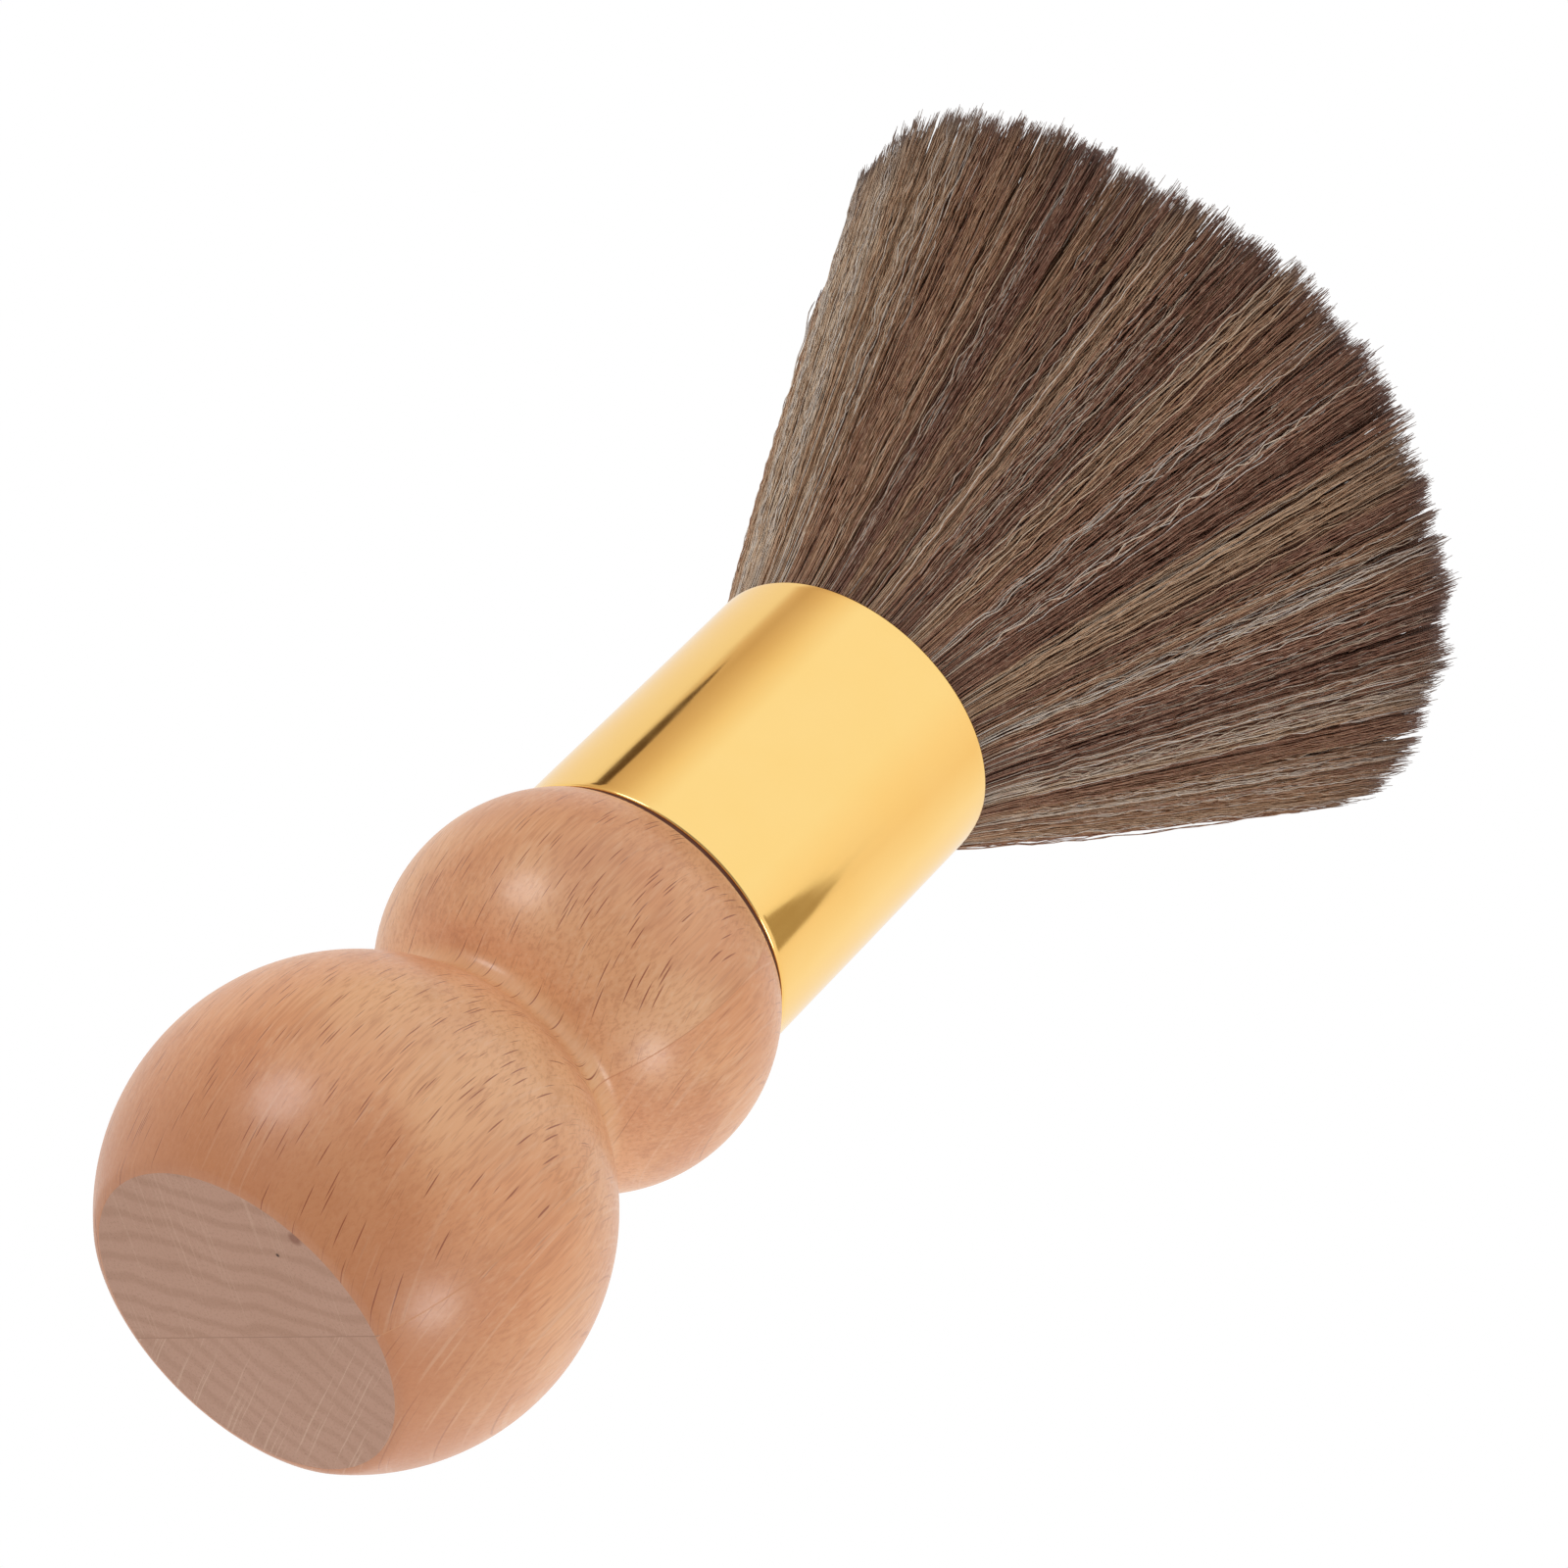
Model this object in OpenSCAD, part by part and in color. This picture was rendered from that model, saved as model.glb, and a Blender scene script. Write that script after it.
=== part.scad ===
// Neck duster brush: a turned beech handle, a gold tube ferrule and a flared tuft of soft fibres.
// It stands upright on its flat end. Origin: centre of the flat end. +Z: along the axis to the tips.
// +X is across the glued seam of the handle, +Y along it. Millimetres.

/* [Handle] */
// Diameter of the big ball that sits in the palm
ball_d = 50; // [46:1:54]
// Diameter of the flat that is cut across the ball
flat_d = 36; // [32:1:38]
// Width of the sanded edge round the flat
edge_break = 0.6; // [0.2:0.1:1]
// Largest diameter of the small upper bulb
bulb_d = 41.8; // [40.4:0.2:43]
// Radius of the arc that the upper bulb is turned to
bulb_arc_r = 17.3; // [16.6:0.1:18]
// Height of the upper bulb's widest ring
bulb_h = 53.5; // [52.5:0.5:54.5]
// Radius of the groove at the waist
waist_r = 2.1; // [1:0.1:4]
// Height of the shoulder below the ferrule
shoulder_h = 63.5; // [63:0.1:64.5]
// Height of the spigot that goes up into the ferrule
spigot_len = 16.5; // [12:0.5:20]
// Distance of the glued seam from the axis
seam_x = 1.7; // [0:0.1:3]
// Thickness of the glue in the seam
seam_t = 0.12; // [0.1:0.02:0.3]

/* [Ferrule] */
// Outer diameter of the ferrule tube
ferrule_d = 35; // [34.6:0.1:35.6]
// Length of the ferrule tube
ferrule_len = 37.5; // [32:0.5:42]
// Thickness of the ferrule's wall
ferrule_wall = 0.5; // [0.4:0.1:0.8]
// Height of the glue bead between the shoulder and the tube
bead_h = 0.5; // [0.3:0.1:0.8]
// Thickness of the glue between the spigot and the tube
film_t = 0.15; // [0.1:0.05:0.3]

/* [Bristles] */
// Depth of the resin that holds the bristle roots
resin_len = 4; // [3:0.5:6]
// Height of the middle bristles above the ferrule
tuft_h = 58.5; // [52:0.5:62]
// Height of the tuft's domed end
crown_h = 6.5; // [4:0.5:9]
// Angle between the outer bristles and the axis
flare = 27; // [22:1:29]
// Angle that the tuft bends to either side
swing = 18; // [10:1:20]

/* [Hidden] */
$fn = 128;

far = 200;                            // larger than the brush, for cutting planes
ball_r = ball_d / 2;
flat_r = flat_d / 2;
ball_h = sqrt(ball_r^2 - flat_r^2);   // the ball's centre, so that its cut is flat_d across
bulb_x = bulb_d / 2 - bulb_arc_r;     // the bulb's arc is centred this far off the axis

// The waist groove is an arc that touches the ball's arc and the bulb's arc from outside
function groove_centre(a, ra, b, rb) =
    let (d = norm(b - a), e = (b - a) / d, s = (ra^2 - rb^2 + d^2) / (2 * d))
    a + s * e + sqrt(ra^2 - s^2) * [e.y, -e.x];
ball_centre = [0, ball_h];
bulb_centre = [bulb_x, bulb_h];
waist_centre = groove_centre(ball_centre, ball_r + waist_r, bulb_centre, bulb_arc_r + waist_r);

// Points along an arc from angle a0 to a1, and the direction from one point to another
function arc(c, r, a0, a1, n) =
    [for (i = [0:n]) let (a = a0 + (a1 - a0) * i / n) c + r * [cos(a), sin(a)]];
function heading(from, to) = atan2(to.y - from.y, to.x - from.x);

bore_r = ferrule_d / 2 - ferrule_wall;
spigot_r = bore_r - film_t;
bead_r = ferrule_d / 2 - 0.25;        // the bead stands back a little from the tube's outside
ferrule_h = shoulder_h + bead_h;
spigot_h = shoulder_h + spigot_len;
root_h = spigot_h + resin_len;
mouth_h = ferrule_h + ferrule_len;

// The tuft turns about the centre of the ferrule's mouth on a ball-shaped neck
neck_gap = 0.4;                       // between the neck and the cup in the root bundle
neck_r = bore_r - 0.7 - neck_gap;
root_top = mouth_h - 0.3;
tuft_r = bore_r - 0.4;                // radius of the tuft where it leaves the ferrule
clear = swing + 3;                    // the tuft's underside stays this far above the mouth
under_r = tuft_r / (cos(clear) - tan(flare) * sin(clear));
rim_h = tuft_h - crown_h;
rim_r = tuft_r + rim_h * tan(flare);
crown_r = (rim_r^2 + crown_h^2) / (2 * crown_h);

// Half outline of the whole turned handle: flat end, ball, waist groove, upper bulb, shoulder, spigot
module handle_outline() {
    edge_a = -asin(ball_h / ball_r) + edge_break / ball_r * 180 / PI;
    low_a = heading(ball_centre, waist_centre);
    high_a = heading(bulb_centre, waist_centre);
    polygon([
        [0, 0], [flat_r - edge_break, 0],
        each arc(ball_centre, ball_r, edge_a, low_a, 26),
        each arc(waist_centre, waist_r, low_a + 180, high_a + 180, 10),
        each arc(bulb_centre, bulb_arc_r, high_a, asin((shoulder_h - bulb_h) / bulb_arc_r), 20),
        [spigot_r, shoulder_h], [spigot_r, spigot_h], [0, spigot_h]
    ]);
}

module handle_solid() {
    rotate_extrude() handle_outline();
}

// Everything between two planes across the X axis
module slab(x0, x1) {
    translate([x0, -far / 2, -far / 2]) cube([x1 - x0, far, 2 * far]);
}

// Flat-sawn beech half, which holds the brush's axis
module handle_block_left() {
    color("#DCA77E") intersection() {
        handle_solid();
        slab(-far, seam_x - seam_t / 2);
    }
}

// Quarter-sawn beech half
module handle_block_right() {
    color("#CE9A74") intersection() {
        handle_solid();
        slab(seam_x + seam_t / 2, far);
    }
}

// The thin layer of wood glue that joins the two halves
module handle_glue_line() {
    color("#A8744E") intersection() {
        handle_solid();
        slab(seam_x - seam_t / 2, seam_x + seam_t / 2);
    }
}

// Thin drawn tube with rounded rims
module ferrule() {
    rim = ferrule_wall / 2;
    color("#EDBB4E") rotate_extrude() translate([bore_r, ferrule_h]) {
        translate([0, rim]) square([ferrule_wall, ferrule_len - ferrule_wall]);
        for (h = [rim, ferrule_len - rim]) translate([rim, h]) circle(rim);
    }
}

// Glue film round the spigot, with the bead that fills the joint above the shoulder
module ferrule_adhesive() {
    color("#5E3A22") rotate_extrude() {
        translate([spigot_r, shoulder_h]) square([film_t, spigot_len]);
        difference() {
            translate([spigot_r, shoulder_h]) square([bead_r - spigot_r, bead_h + ferrule_wall / 2]);
            translate([bore_r + ferrule_wall / 2, ferrule_h + ferrule_wall / 2]) circle(ferrule_wall / 2);
        }
    }
}

// Cast resin that bonds the bristle roots to the ferrule
module resin_plug() {
    color("#B89B62") translate([0, 0, spigot_h]) cylinder(h = resin_len, r = bore_r);
}

// Packed lower ends of the bristles, hollowed for the tuft's neck
module knot_root() {
    color("#54402F") difference() {
        translate([0, 0, root_h]) cylinder(h = root_top - root_h, r = bore_r);
        translate([0, 0, mouth_h]) sphere(neck_r + neck_gap);
    }
}

// Free part of the bristles as one soft mass: a neck, a flared side and a domed end
module bristle_tuft() {
    color("#6F5443") translate([0, 0, mouth_h]) rotate_extrude() intersection() {
        union() {
            circle(neck_r);
            polygon([[0, 0], under_r * [cos(clear), sin(clear)], [rim_r, rim_h], [0, rim_h]]);
            intersection() {
                translate([0, tuft_h - crown_r]) circle(crown_r);
                translate([0, rim_h]) square([rim_r, crown_h]);
            }
        }
        translate([0, -far / 2]) square(far);
    }
}

handle_block_left();
handle_block_right();
handle_glue_line();
ferrule();
ferrule_adhesive();
resin_plug();
knot_root();
bristle_tuft();
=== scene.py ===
"""Looks of the neck duster brush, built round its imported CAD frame.

Metres. The brush stands on its flat end: origin at the middle of the flat, +Z along the axis to the
bristle tips, +X across the glued seam of the handle. Azimuth 0 is the -Y side and 90 the +X side.
"""
from math import asin, atan2, cos, degrees, exp, hypot, pi, radians, sin, sqrt

import bmesh
import bpy
import numpy as np
from mathutils import Matrix, Vector


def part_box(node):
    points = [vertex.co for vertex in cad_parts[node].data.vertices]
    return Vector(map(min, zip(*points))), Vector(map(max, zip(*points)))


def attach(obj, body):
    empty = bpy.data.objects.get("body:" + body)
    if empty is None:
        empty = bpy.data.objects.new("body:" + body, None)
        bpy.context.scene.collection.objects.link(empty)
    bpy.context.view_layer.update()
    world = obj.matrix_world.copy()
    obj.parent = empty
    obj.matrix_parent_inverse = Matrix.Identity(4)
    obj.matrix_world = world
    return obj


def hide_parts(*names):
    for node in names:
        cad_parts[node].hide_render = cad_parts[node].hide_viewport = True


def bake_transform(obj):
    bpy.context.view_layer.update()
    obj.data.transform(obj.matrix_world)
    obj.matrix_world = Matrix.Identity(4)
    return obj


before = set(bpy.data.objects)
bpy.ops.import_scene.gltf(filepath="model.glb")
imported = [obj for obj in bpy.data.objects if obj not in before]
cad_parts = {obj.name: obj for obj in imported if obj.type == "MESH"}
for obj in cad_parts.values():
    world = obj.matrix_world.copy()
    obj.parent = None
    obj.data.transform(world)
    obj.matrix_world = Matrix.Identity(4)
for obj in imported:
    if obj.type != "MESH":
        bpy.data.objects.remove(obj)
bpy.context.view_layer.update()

MM = 0.001

# ---------------------------------------------------------------- sizes that the CAD frame gives
FLAT_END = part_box("handle_block_left")[0].z
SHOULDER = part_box("ferrule_adhesive")[0].z
SPIGOT_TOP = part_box("handle_block_left")[1].z
BALL_R = -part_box("handle_block_left")[0].x
SEAM_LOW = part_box("handle_glue_line")[0].x
SEAM_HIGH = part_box("handle_glue_line")[1].x
TUBE_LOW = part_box("ferrule")[0].z
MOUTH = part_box("ferrule")[1].z
TUBE_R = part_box("ferrule")[1].x
BORE_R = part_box("resin_plug")[1].x
TUFT_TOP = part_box("bristle_tuft")[1].z
RIM_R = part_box("bristle_tuft")[1].x

# Turned profile, as in the CAD source
FLAT_R = 18.0 * MM
EDGE = 0.6 * MM
BULB_R = 20.9 * MM
BULB_ARC = 17.3 * MM
BULB_H = 53.5 * MM
WAIST_ARC = 2.1 * MM
SPIGOT_R = BORE_R - 0.15 * MM

# Not in the CAD source: about where the waist is deepest, and how roundly the bulb rolls over into the
# shoulder. The CAD's edge is sharp there, and the rounding leaves the dark joint in sight.
WAIST_H = 39.0 * MM
SHOULDER_ROUND = 1.6 * MM


def towards(azimuth, elevation):
    """Unit vector from the brush to azimuth and elevation, in degrees."""
    a, e = radians(azimuth), radians(elevation)
    return Vector((sin(a) * cos(e), -cos(a) * cos(e), sin(e)))


# Tuft
ROOT_R = 16.3 * MM
RIM_H = 52.0 * MM
CROWN = TUFT_TOP - MOUTH
LEAN = towards(63.4, 0) * 0.055  # the whole tuft leans a little
SEED = 20

# Where the bristles run longer, spread wider or are paler than elsewhere: azimuth, width, share.
# A share below zero makes them shorter or narrower.
LONGER = ((-110.0, 36.0, 0.108), (-46.0, 16.0, -0.012), (18.0, 30.0, -0.034), (52.0, 12.0, -0.030))
WIDER = ((-134.0, 26.0, -0.050), (70.0, 20.0, 0.034))
PALER = ((-112.0, 26.0, 0.62), (68.0, 20.0, 0.40))


def by_azimuth(x, y, bumps):
    """Sum of smooth bumps round the axis, at the azimuth of each point."""
    azimuth = np.degrees(np.arctan2(x, -y))
    total = np.zeros_like(azimuth)
    for middle, width, share in bumps:
        off = (azimuth - middle + 180) % 360 - 180
        total += share * np.exp(-((off / width) ** 2))
    return total


# ---------------------------------------------------------------- camera and light
AIM = Vector((0, 0, 90.2 * MM))
CAMERA = dict(azimuth=-26.61, elevation=-37.9, distance=0.603, roll=45.0)
LENS = 134.6
AMBIENT = 0.81  # soft light from all round, against the white that polished surfaces reflect

# Colour of the studio's walls in reflections, by azimuth. It is dimmer and warm beside the key light,
# and faintly warm at the right.
WALLS = (
    (-180, (0.93, 0.87, 0.82)),
    (-131, (0.92, 0.86, 0.78)),
    (-124, (0.70, 0.55, 0.42)),
    (-117, (0.60, 0.45, 0.32)),
    (-104, (0.74, 0.59, 0.45)),
    (-90, (0.92, 0.82, 0.70)),
    (-74, (1, 1, 1)),
    (5, (1, 1, 1)),
    (30, (0.99, 0.91, 0.82)),
    (55, (0.95, 0.83, 0.70)),
    (90, (1, 0.96, 0.91)),
    (180, (0.93, 0.87, 0.82)),
)


def aimed(at, back, roll=0.0):
    """Matrix of a camera or lamp at a point, with its back towards `back`, rolled by degrees."""
    turn = back.to_track_quat("Z", "Y").to_matrix().to_4x4()
    return Matrix.Translation(at) @ turn @ Matrix.Rotation(radians(roll), 4, "Z")


def make_camera():
    """The photograph's camera. It looks up at the brush from below its flat end."""
    data = bpy.data.cameras.new("camera")
    data.lens = LENS
    data.sensor_width = 36
    data.clip_start, data.clip_end = 0.02, 50
    camera = bpy.data.objects.new("camera", data)
    bpy.context.scene.collection.objects.link(camera)
    back = towards(CAMERA["azimuth"], CAMERA["elevation"])
    camera.matrix_world = aimed(AIM + back * CAMERA["distance"], back, CAMERA["roll"])
    bpy.context.scene.camera = camera


def softbox(name, azimuth, elevation, distance, size, power):
    """A round soft light, aimed at the middle of the picture."""
    data = bpy.data.lights.new(name, "AREA")
    data.shape = "DISK"
    data.size = size
    data.energy = power
    lamp = bpy.data.objects.new(name, data)
    bpy.context.scene.collection.objects.link(lamp)
    back = towards(azimuth, elevation)
    lamp.matrix_world = aimed(AIM + back * distance, back)


# ---------------------------------------------------------------- node building
def srgb(r, g, b):
    """Linear colour of an sRGB colour given in 0..255."""
    lin = [c / 255 / 12.92 if c <= 10.31 else ((c / 255 + 0.055) / 1.055) ** 2.4 for c in (r, g, b)]
    return (*lin, 1.0)


class Tree:
    """A node tree with short calls. Each call returns the new node's main output."""

    def __init__(self, owner):
        owner.use_nodes = True
        self.tree = owner.node_tree
        self.tree.nodes.clear()

    def add(self, kind, inputs=(), **settings):
        node = self.tree.nodes.new(kind)
        for key, value in settings.items():
            setattr(node, key, value)
        for key, value in dict(inputs).items():
            socket = node.inputs[key]
            if isinstance(value, bpy.types.NodeSocket):
                self.tree.links.new(value, socket)
            else:
                socket.default_value = value
        return node

    def math(self, how, a, b=0.0):
        return self.add("ShaderNodeMath", {0: a, 1: b}, operation=how).outputs[0]

    def smooth(self, value, low, high, to_low=0.0, to_high=1.0):
        """Smooth step of value from low to high, given as to_low to to_high."""
        return self.add(
            "ShaderNodeMapRange",
            {"Value": value, "From Min": low, "From Max": high, "To Min": to_low, "To Max": to_high},
            interpolation_type="SMOOTHSTEP",
        ).outputs[0]

    def noise(self, vector, scale, detail=2.0, roughness=0.5, dimensions="3D"):
        return self.add(
            "ShaderNodeTexNoise",
            {"Vector": vector, "Scale": scale, "Detail": detail, "Roughness": roughness},
            noise_dimensions=dimensions,
        ).outputs["Fac"]

    def combine(self, x, y, z):
        return self.add("ShaderNodeCombineXYZ", {"X": x, "Y": y, "Z": z}).outputs[0]

    def mix(self, factor, a, b, how="MIX"):
        """Colour a, going over to colour b with factor."""
        node = self.add("ShaderNodeMix", data_type="RGBA", blend_type=how, clamp_factor=True)
        factor_in, a_in, b_in = node.inputs[0], node.inputs[6], node.inputs[7]  # the colour sockets
        for socket, value in ((factor_in, factor), (a_in, a), (b_in, b)):
            if isinstance(value, bpy.types.NodeSocket):
                self.tree.links.new(value, socket)
            else:
                socket.default_value = value
        return node.outputs[2]

    def ramp(self, factor, stops):
        """Colour by factor, from stops of (place, colour)."""
        node = self.add("ShaderNodeValToRGB", {"Fac": factor})
        elements = node.color_ramp.elements
        elements[0].position, elements[0].color = stops[0]
        elements[-1].position, elements[-1].color = stops[-1]
        for position, colour in stops[1:-1]:
            elements.new(position).color = colour
        return node.outputs["Color"]

    def bump(self, height, distance, strength=1.0):
        return self.add(
            "ShaderNodeBump", {"Height": height, "Distance": distance, "Strength": strength}
        ).outputs[0]

    def dot(self, vector, direction):
        return self.add(
            "ShaderNodeVectorMath", {0: vector, 1: direction}, operation="DOT_PRODUCT"
        ).outputs["Value"]

    def surface(self, **inputs):
        """Principled surface. Keyword names are the socket names with _ for a space."""
        named = {key.replace("_", " "): value for key, value in inputs.items()}
        shader = self.add("ShaderNodeBsdfPrincipled", named)
        self.add("ShaderNodeOutputMaterial", {"Surface": shader.outputs[0]})


def material(name):
    """A new material and its empty node tree."""
    made = bpy.data.materials.new(name)
    return made, Tree(made)


# ---------------------------------------------------------------- materials
RING_WIDTH = 2.7 * MM  # of one year's growth
FIBRE_TONES = 64  # columns of the strand map, from the darkest fibre to the palest


def wood_axes(t, radial_azimuth):
    """Coordinates in the wood: along the rays, across the rays, along the trunk. Metres."""
    place = t.add("ShaderNodeTexCoord").outputs["Object"]
    x, y, z = t.add("ShaderNodeSeparateXYZ", {"Vector": place}).outputs
    r = towards(radial_azimuth, 0)
    along = t.math("ADD", t.math("MULTIPLY", x, r.x), t.math("MULTIPLY", y, r.y))
    across = t.math("SUBTRACT", t.math("MULTIPLY", y, r.x), t.math("MULTIPLY", x, r.y))
    return place, along, across, z


def flecks(t, across, trunk, width, length, scarce, seed):
    """Spindle-shaped marks along the trunk: 1 inside a mark, 0 outside.

    width and length are a mark's size, and scarce is the share of Voronoi cells without a mark.
    """
    share = 0.22  # half a mark's width, in Voronoi cells
    sx, sz = 2 * share / width, 2 * share / length
    lean = t.noise(t.combine(across, trunk, seed), 170.0, 1.0)
    u = t.math("ADD", t.math("MULTIPLY", across, sx), t.math("MULTIPLY", lean, 1.1))
    cell = t.add(
        "ShaderNodeTexVoronoi",
        {
            "Vector": t.combine(t.math("ADD", u, seed * 7.3), t.math("MULTIPLY", trunk, sz), 0.0),
            "Scale": 1.0,
            "Randomness": 1.0,
        },
        voronoi_dimensions="2D",
        feature="F1",
    )
    chance = t.add("ShaderNodeSeparateColor", {"Color": cell.outputs["Color"]}).outputs[0]
    reach = t.smooth(chance, scarce, min(scarce + 0.35, 1.0), -0.05, share * 1.15)
    inside = t.math("SUBTRACT", reach, cell.outputs["Distance"])
    return t.smooth(inside, 0.0, share * 0.6)


def beech(name, radial_azimuth, dash, hairlines, tint):
    """Lacquered beech on the turned side. dash and hairlines are the strengths of the two figures."""
    made, t = material(name)
    place, along, across, trunk = wood_axes(t, radial_azimuth)
    stretched = t.combine(along, across, t.math("MULTIPLY", trunk, 0.8))
    broad = t.noise(stretched, 42.0, 1.0, 0.5)
    patch = t.noise(t.combine(across, along, t.math("MULTIPLY", trunk, 1.2)), 75.0, 1.5, 0.5)
    fibres = t.combine(along, across, t.math("MULTIPLY", trunk, 0.05))
    fine = t.noise(fibres, 2600.0, 2.0, 0.65)
    streak = t.noise(t.combine(along, across, t.math("MULTIPLY", trunk, 0.10)), 520.0, 2.0, 0.6)
    pale, tan, orange = srgb(236, 178, 130), srgb(228, 159, 110), srgb(208, 131, 84)
    colour = t.mix(t.smooth(broad, 0.36, 0.62), pale, tan)
    colour = t.mix(t.smooth(patch, 0.42, 0.74, 0.0, 0.55), colour, orange)
    colour = t.mix(t.smooth(streak, 0.45, 0.75, 0.0, 0.28), colour, srgb(190, 122, 80))
    colour = t.mix(t.smooth(fine, 0.35, 0.50, 0.32, 0.0), colour, srgb(186, 116, 76))
    glints = t.smooth(fine, 0.52, 0.70, 0.0, 0.16 + hairlines * 0.5)
    colour = t.mix(glints, colour, srgb(240, 200, 164))
    waist = t.math("ABSOLUTE", t.math("SUBTRACT", trunk, WAIST_H))
    colour = t.mix(t.smooth(waist, 0.4 * MM, 2.6 * MM, 0.35, 0.0), colour, srgb(236, 190, 138))
    # painted shade: darker and more orange towards the flat end, where less light reaches the ball from
    # below
    painted_shade_near_flat = t.smooth(trunk, 0.3 * MM, 16.0 * MM, 0.75, 0.0)
    colour = t.mix(painted_shade_near_flat, colour, srgb(196, 124, 80))
    marks = flecks(t, across, trunk, 0.12 * MM, 2.8 * MM, 0.56, 0.0)
    small = flecks(t, across, trunk, 0.08 * MM, 1.5 * MM, 0.50, 3.0)
    colour = t.mix(t.math("MULTIPLY", marks, dash), colour, srgb(146, 72, 40))
    colour = t.mix(t.math("MULTIPLY", small, dash * 0.35), colour, srgb(164, 98, 64))
    sheet = t.combine(t.math("MULTIPLY", along, 0.03), across, t.math("MULTIPLY", trunk, 0.03))
    lines = t.noise(sheet, 2600.0, 1.0)
    colour = t.mix(t.smooth(lines, 0.60, 0.72, 0.0, hairlines), colour, srgb(248, 216, 186))
    colour = t.mix(1.0, colour, tint, "MULTIPLY")
    skin = t.noise(place, 2600.0, 2.0, 0.6)
    height = t.math("SUBTRACT", t.math("MULTIPLY", skin, 0.55), t.math("MULTIPLY", marks, 0.35))
    t.surface(
        Base_Color=colour,
        Roughness=t.smooth(skin, 0.3, 0.7, 0.40, 0.52),
        Coat_Weight=0.5,
        Coat_Roughness=0.23,
        Specular_IOR_Level=0.5,
        Normal=t.bump(height, 0.00003, 0.75),
    )
    return made


def end_grain(name, radial_azimuth, rings, rays, spots=()):
    """Sanded end grain on the flat: growth rings across the rays, with pale rays over them.

    rings and rays are their strengths. A spot is x, y, radius, strength and colour.
    """
    made, t = material(name)
    place, along, across, _ = wood_axes(t, radial_azimuth)
    wander = t.math("MULTIPLY", t.noise(place, 95.0, 2.0), 12.0)
    ring = t.math("ADD", t.math("MULTIPLY", along, 2 * pi / RING_WIDTH), wander)
    band = t.smooth(t.math("SINE", ring), -0.2, 1.0)
    colour = t.mix(t.noise(place, 70.0), srgb(207, 164, 143), srgb(197, 154, 131))
    colour = t.mix(t.math("MULTIPLY", band, rings), colour, srgb(162, 118, 92))
    sway = t.math("MULTIPLY", t.noise(t.combine(along, 0.0, 0.0), 80.0), 0.9 * MM)
    ray = t.combine(t.math("MULTIPLY", along, 0.010), t.math("ADD", across, sway), 0.0)
    line = t.noise(ray, 3600.0, 1.0, 0.5, "2D")
    colour = t.mix(t.smooth(line, 0.62, 0.76, 0.0, rays), colour, srgb(226, 190, 166))
    pore = t.noise(place, 3800.0, 2.0, 0.7)
    colour = t.mix(t.smooth(pore, 0.52, 0.70, 0.0, 0.28), colour, srgb(140, 104, 84))
    for x, y, radius, strength, shade in spots:
        spot = {0: place, 1: (x, y, 0.0)}
        gap = t.add("ShaderNodeVectorMath", spot, operation="DISTANCE").outputs["Value"]
        colour = t.mix(t.smooth(gap, radius * 0.4, radius, strength, 0.0), colour, shade)
    t.surface(
        Base_Color=colour,
        Roughness=t.smooth(pore, 0.3, 0.7, 0.56, 0.72),
        Specular_IOR_Level=0.35,
        Normal=t.bump(pore, 0.00004, 0.4),
    )
    return made


def glue(name, colour_a, colour_b, roughness, sanded=None):
    """Set glue. sanded is its colour where it comes out on the flat end."""
    made, t = material(name)
    place = t.add("ShaderNodeTexCoord").outputs["Object"]
    body = t.noise(place, 500.0, 3.0)
    colour = t.mix(body, colour_a, colour_b)
    if sanded:
        z = t.add("ShaderNodeSeparateXYZ", {"Vector": place}).outputs[2]
        colour = t.mix(t.smooth(z, 0.02 * MM, 0.3 * MM, 1.0, 0.0), colour, sanded)
    t.surface(
        Base_Color=colour,
        Roughness=t.smooth(body, 0.3, 0.7, roughness, roughness + 0.15),
        Normal=t.bump(body, 0.00005, 0.4),
    )
    return made


def gold():
    """Thin gold-coloured tube, polished, with faint drawing marks along it."""
    made, t = material("gold_tube")
    place = t.add("ShaderNodeTexCoord").outputs["Object"]
    x, y, z = t.add("ShaderNodeSeparateXYZ", {"Vector": place}).outputs
    drawn = t.noise(t.combine(x, y, t.math("MULTIPLY", z, 0.02)), 1300.0, 2.0, 0.6)
    smear = t.noise(place, 120.0, 2.0)
    colour = t.mix(smear, srgb(253, 213, 130), srgb(254, 218, 142))
    rough = t.math("ADD", t.smooth(smear, 0.3, 0.7, 0.06, 0.11), t.smooth(drawn, 0.3, 0.8, 0.0, 0.04))
    t.surface(
        Base_Color=colour,
        Metallic=1.0,
        Roughness=rough,
        Normal=t.bump(drawn, 0.000004, 0.3),
    )
    return made


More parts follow.
